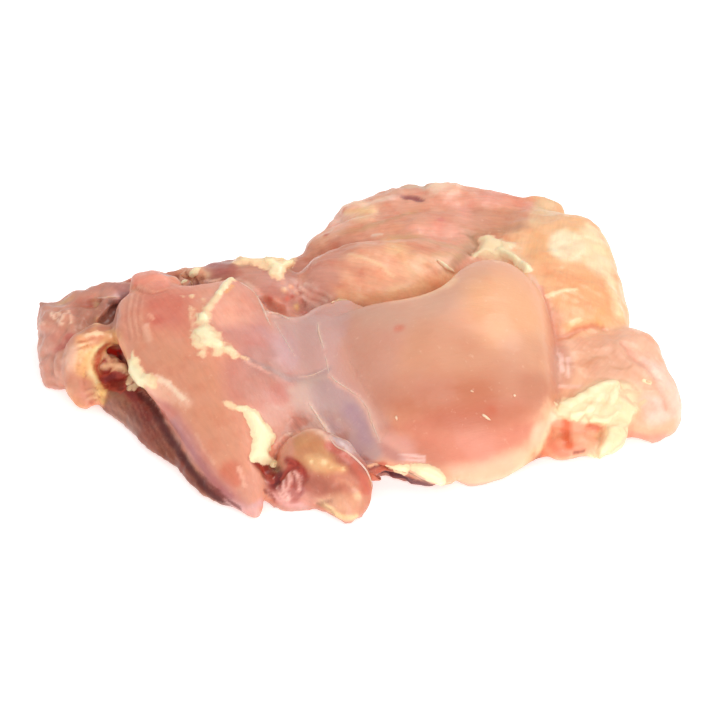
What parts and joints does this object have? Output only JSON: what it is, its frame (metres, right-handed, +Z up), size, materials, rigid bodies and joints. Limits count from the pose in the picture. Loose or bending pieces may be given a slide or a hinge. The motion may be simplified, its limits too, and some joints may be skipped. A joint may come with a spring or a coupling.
{
  "type": "raw chicken thigh",
  "caption": "Raw boneless skinless chicken thigh, opened out, with folded muscles, film and bits of fat, lying on a flat underside.",
  "frame": {"origin": "middle of the overall box at its bottom, on the surface that the thigh lies on", "axes": "+Z up; +X along the longest extent, from the ragged end to the pale fatty end; the large smooth muscle's lifted film edge faces -Y, which is the picture's near side"},
  "size_m": [0.1278, 0.1046, 0.0239],
  "materials": {
    "raw_meat": "moist raw muscle, pale pink to light tan, with a soft wet sheen and thin film over it"
  },
  "bodies": {
    "root": {"thigh": "raw_meat"}
  },
  "joints": []
}
